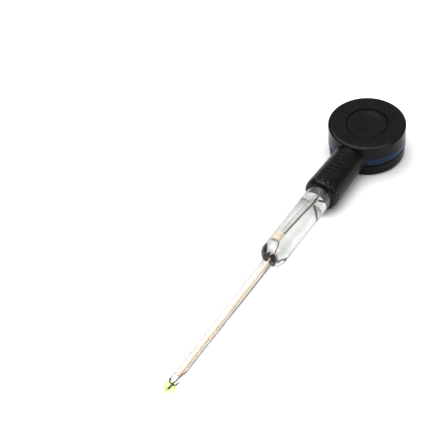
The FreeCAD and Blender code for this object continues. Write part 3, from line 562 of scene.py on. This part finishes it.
# %% Draw out a fill
def drawn_fill(name, sections, finish, node):
    """A round fill through sections: each a distance from the head's axis, and a radius."""
    bpy.ops.object.select_all(action="DESELECT")
    reach, radius = sections[0]
    radius += fill_overlap
    bpy.ops.mesh.primitive_circle_add(
        vertices=sides, radius=radius, fill_type="NGON",
        location=(0.0, -reach, axis_height), rotation=(math.pi / 2, 0.0, 0.0))
    piece = bpy.context.active_object
    piece.name = name
    bpy.ops.object.transform_apply(location=True, rotation=True, scale=True)
    bpy.ops.object.mode_set(mode="EDIT")
    bpy.ops.mesh.select_all(action="SELECT")
    for next_reach, next_radius in sections[1:]:
        next_radius += fill_overlap
        move = (0.0, reach - next_reach, 0.0)
        bpy.ops.mesh.extrude_region_move(TRANSFORM_OT_translate={"value": move})
        size = next_radius / radius
        bpy.ops.transform.resize(
            value=(size, 1.0, size), center_override=(0.0, -next_reach, axis_height))
        reach, radius = next_reach, next_radius
    bpy.ops.mesh.select_all(action="SELECT")
    bpy.ops.mesh.normals_make_consistent(inside=False)
    bpy.ops.object.mode_set(mode="OBJECT")
    bpy.ops.object.shade_smooth_by_angle(angle=smooth_below)
    piece.data.materials.append(finish)
    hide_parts(node)
    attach(piece, "probe")
    print(name, "has", len(piece.data.polygons), "faces and", len(sections), "sections")
    return piece


# %% Gel in the glass body
bore = 0.005
gel_top = -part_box("chamber_gel")[1].y - fill_overlap
shoulder_top = 0.084
shoulder_bend = 0.003694
shoulder_turn = math.radians(66.5)
shoulder_steps = 9
gel_sections = [(gel_top, bore)]
for step in range(shoulder_steps + 1):
    angle = shoulder_turn * step / shoulder_steps
    gel_sections.append((shoulder_top + shoulder_bend * math.sin(angle),
                         bore - shoulder_bend * (1.0 - math.cos(angle))))
gel_fill = drawn_fill("gel_fill", gel_sections, gel, "chamber_gel")

# %% Buffer in the stem and bulb
stem_top, taper_end, stem_end = 0.0858, 0.1635, 0.1674
bulb_bore = 0.00235
bulb_middle = 0.169297
bulb_steps = 16
bulb_start = math.acos((stem_end - bulb_middle) / bulb_bore)
bulb_stop = math.radians(3.0)
wide_bore, narrow_bore, neck_bore = 0.0019, 0.0016, 0.001545
neck_middle = (taper_end + stem_end) / 2
buffer_sections = [(stem_top, wide_bore), (taper_end, narrow_bore), (neck_middle, neck_bore)]
for step in range(bulb_steps + 1):
    angle = bulb_start + (bulb_stop - bulb_start) * step / bulb_steps
    buffer_sections.append((bulb_middle + bulb_bore * math.cos(angle),
                            bulb_bore * math.sin(angle)))
bulb_fill = drawn_fill("bulb_fill", buffer_sections, buffer_liquid, "bulb_buffer")

# %% [markdown]
# ## Collar
# Where the thin stem leaves the glass body, a small dark ring of burnt resin closes the gap. In
# CAD it has a sleeve that reaches into the mouth, and through thick glass that sleeve would look
# like a wide dark plug. Here only the ring itself is made: a torus is drawn out along the stem,
# and its half towards the bulb is pulled in to the stem like a bead of resin.

# %% Collar finish
collar_resin, shader = new_finish("collar_resin")
place = place_in_piece(collar_resin)
cloud = speckle(collar_resin, place, 0.0012, 4.0)
tint(collar_resin, shader, cloud, (0.01, 0.007, 0.006), (0.1, 0.04, 0.026))
roughen(collar_resin, shader, speckle(collar_resin, place, 0.0007), 0.3, 0.55)
emboss(collar_resin, shader, speckle(collar_resin, place, 0.0003), 0.00001)

# %% Collar ring
collar_middle = 0.08874
collar_radius = 0.00278
collar_bead = 0.00027
collar_stretch = 1.45
collar_pull = 0.93
bpy.ops.object.select_all(action="DESELECT")
collar_centre = (0.0, -collar_middle, axis_height)
bpy.ops.mesh.primitive_torus_add(
    major_radius=collar_radius, minor_radius=collar_bead, major_segments=72, minor_segments=20,
    location=collar_centre, rotation=(math.pi / 2, 0.0, 0.0))
collar_ring = bpy.context.active_object
collar_ring.name = "collar_ring"
bpy.ops.object.transform_apply(location=True, rotation=True, scale=True)
bpy.ops.object.mode_set(mode="EDIT")
bpy.ops.mesh.select_all(action="SELECT")
bpy.ops.transform.resize(value=(1.0, collar_stretch, 1.0), center_override=collar_centre)
bpy.ops.mesh.select_all(action="DESELECT")
bpy.ops.object.mode_set(mode="OBJECT")
for vertex in collar_ring.data.vertices:
    off_axis = math.hypot(vertex.co.x, vertex.co.z - axis_height)
    vertex.select = vertex.co.y < -collar_middle - collar_bead / 2 and off_axis > collar_radius
bpy.ops.object.mode_set(mode="EDIT")
bpy.ops.transform.resize(value=(collar_pull, 1.0, collar_pull), center_override=collar_centre)
bpy.ops.mesh.select_all(action="SELECT")
bpy.ops.mesh.normals_make_consistent(inside=False)
bpy.ops.object.mode_set(mode="OBJECT")
bpy.ops.object.shade_smooth()
collar_ring.data.materials.append(collar_resin)
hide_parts("stem_collar")
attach(collar_ring, "probe")
print("collar_ring has", len(collar_ring.data.polygons), "faces")

# %% [markdown]
# ## Membrane
# The silicone membrane under the button seals the head, and it gives when the button is pressed.
# A copy of the CAD node takes its place here. Its loose triangles are joined, and it is shaded
# smooth.

# %% Membrane
weld_distance = 0.000001
bpy.ops.object.select_all(action="DESELECT")
membrane = nodes["button_membrane"].copy()
membrane.data = nodes["button_membrane"].data.copy()
membrane.name = "soft_membrane"
bpy.context.scene.collection.objects.link(membrane)
membrane.select_set(True)
bpy.context.view_layer.objects.active = membrane
bpy.ops.object.mode_set(mode="EDIT")
bpy.ops.mesh.select_all(action="SELECT")
bpy.ops.mesh.remove_doubles(threshold=weld_distance)
bpy.ops.object.mode_set(mode="OBJECT")
bpy.ops.object.shade_smooth_by_angle(angle=smooth_below)
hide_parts("button_membrane")
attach(membrane, "probe")
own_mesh(membrane)

# %% [markdown]
# ## Light through the glass
# Light that goes through real glass still reaches the table, so clear pieces throw hardly any
# shadow. A renderer finds such bent paths only by luck and leaves the table dark behind the glass.
# So the clear pieces throw no shadow here.

# %% Clear pieces throw no shadow
clear_nodes = ("chamber_glass", "stem_glass", "inner_tube", "ph_bulb", "lead_sleeve")
clear_pieces = [gel_fill, bulb_fill] + [nodes[name] for name in clear_nodes]
for piece in clear_pieces:
    piece.visible_shadow = False
print(len(clear_pieces), "pieces throw no shadow")
